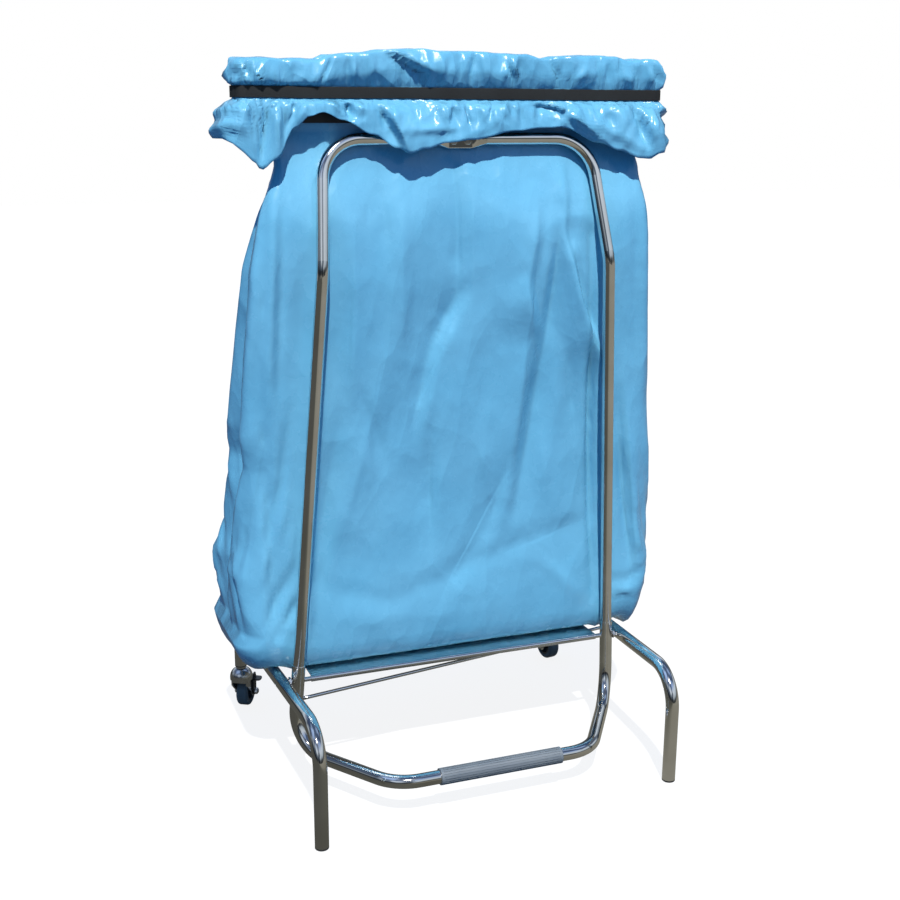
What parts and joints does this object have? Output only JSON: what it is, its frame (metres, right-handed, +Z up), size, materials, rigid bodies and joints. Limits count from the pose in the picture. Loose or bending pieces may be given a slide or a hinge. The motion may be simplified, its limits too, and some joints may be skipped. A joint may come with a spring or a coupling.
{
  "type": "pedal bag holder",
  "caption": "Standing bag holder: bent chrome frame on two casters and two feet, a pedal tilts the front frame to open the mouth of a strapped film bag.",
  "frame": {"origin": "on the floor under the middle of the bounding box", "axes": "+Z up, -Y towards the pedal and the user, +X to the user's right"},
  "size_m": [0.6976, 0.5126, 1.0719],
  "materials": {
    "chrome_tube": "polished chrome plating",
    "stainless": "plain stainless sheet and rod",
    "zinc": "bright zinc plating",
    "black_metal": "black paint, satin",
    "black_plastic": "black plastic",
    "grip_plastic": "grey ribbed plastic",
    "tyre": "dark grey rubber",
    "wheel_core": "moulded plastic",
    "strap_rubber": "smooth flat rubber band",
    "bag_film": "glossy blue film"
  },
  "bodies": {
    "base": {"rear_frame_tube": "chrome_tube", "rear_jaw": "black_metal", "rear_jaw_screws": "zinc", "rear_jaw_nuts": "zinc", "axle_rod": "stainless", "axle_spacers": "zinc", "shelf_rear_rod": "stainless", "bag_shelf": "stainless", "return_spring_rod": "stainless", "strap": "strap_rubber", "bag": "bag_film", "front_leg_left": "chrome_tube", "foot_cap_left": "black_plastic", "rear_side_tube_left": "chrome_tube", "caster_plug_left": "black_plastic", "caster_stem_left": "zinc", "front_leg_right": "chrome_tube", "foot_cap_right": "black_plastic", "rear_side_tube_right": "chrome_tube", "caster_plug_right": "black_plastic", "caster_stem_right": "zinc"},
    "front_frame": {"front_upper_tube": "chrome_tube", "pedal_tube": "chrome_tube", "pedal_grip": "grip_plastic", "front_jaw": "black_metal", "front_jaw_screws": "zinc", "front_jaw_nuts": "zinc"},
    "swivel_left": {"caster_fork_left": "zinc", "wheel_bolt_left": "zinc", "wheel_nut_left": "zinc"},
    "wheel_left": {"wheel_core_left": "wheel_core", "wheel_tyre_left": "tyre"},
    "brake_left": {"brake_lever_left": "black_metal"},
    "swivel_right": {"caster_fork_right": "zinc", "wheel_bolt_right": "zinc", "wheel_nut_right": "zinc"},
    "wheel_right": {"wheel_core_right": "wheel_core", "wheel_tyre_right": "tyre"},
    "brake_right": {"brake_lever_right": "black_metal"}
  },
  "joints": [
    {"name": "pedal_hinge", "type": "hinge", "parent": "base", "child": "front_frame", "pos_m": [0, -0.05664, 0.16536], "axis": [1, 0, 0], "range_deg": [0, 17], "stiffness_Nm_per_rad": 12, "springref_deg": -14.32, "deforming": ["bag", "strap", "return_spring_rod"]},
    {"name": "swivel_left_turn", "type": "hinge", "parent": "base", "child": "swivel_left", "pos_m": [-0.291, 0.21136, 0.06], "axis": [0, 0, 1], "continuous": true},
    {"name": "wheel_left_spin", "type": "hinge", "parent": "swivel_left", "child": "wheel_left", "pos_m": [-0.2812, 0.22834, 0.025], "axis": [0.866, -0.5, 0], "continuous": true},
    {"name": "brake_left_press", "type": "hinge", "parent": "swivel_left", "child": "brake_left", "pos_m": [-0.2812, 0.22834, 0.025], "axis": [0.866, -0.5, 0], "range_deg": [-12, 0]},
    {"name": "swivel_right_turn", "type": "hinge", "parent": "base", "child": "swivel_right", "pos_m": [0.291, 0.21136, 0.06], "axis": [0, 0, 1], "continuous": true},
    {"name": "wheel_right_spin", "type": "hinge", "parent": "swivel_right", "child": "wheel_right", "pos_m": [0.2881, 0.23075, 0.025], "axis": [0.989, 0.1478, 0], "continuous": true},
    {"name": "brake_right_press", "type": "hinge", "parent": "swivel_right", "child": "brake_right", "pos_m": [0.2881, 0.23075, 0.025], "axis": [0.989, 0.1478, 0], "range_deg": [-12, 0]}
  ]
}
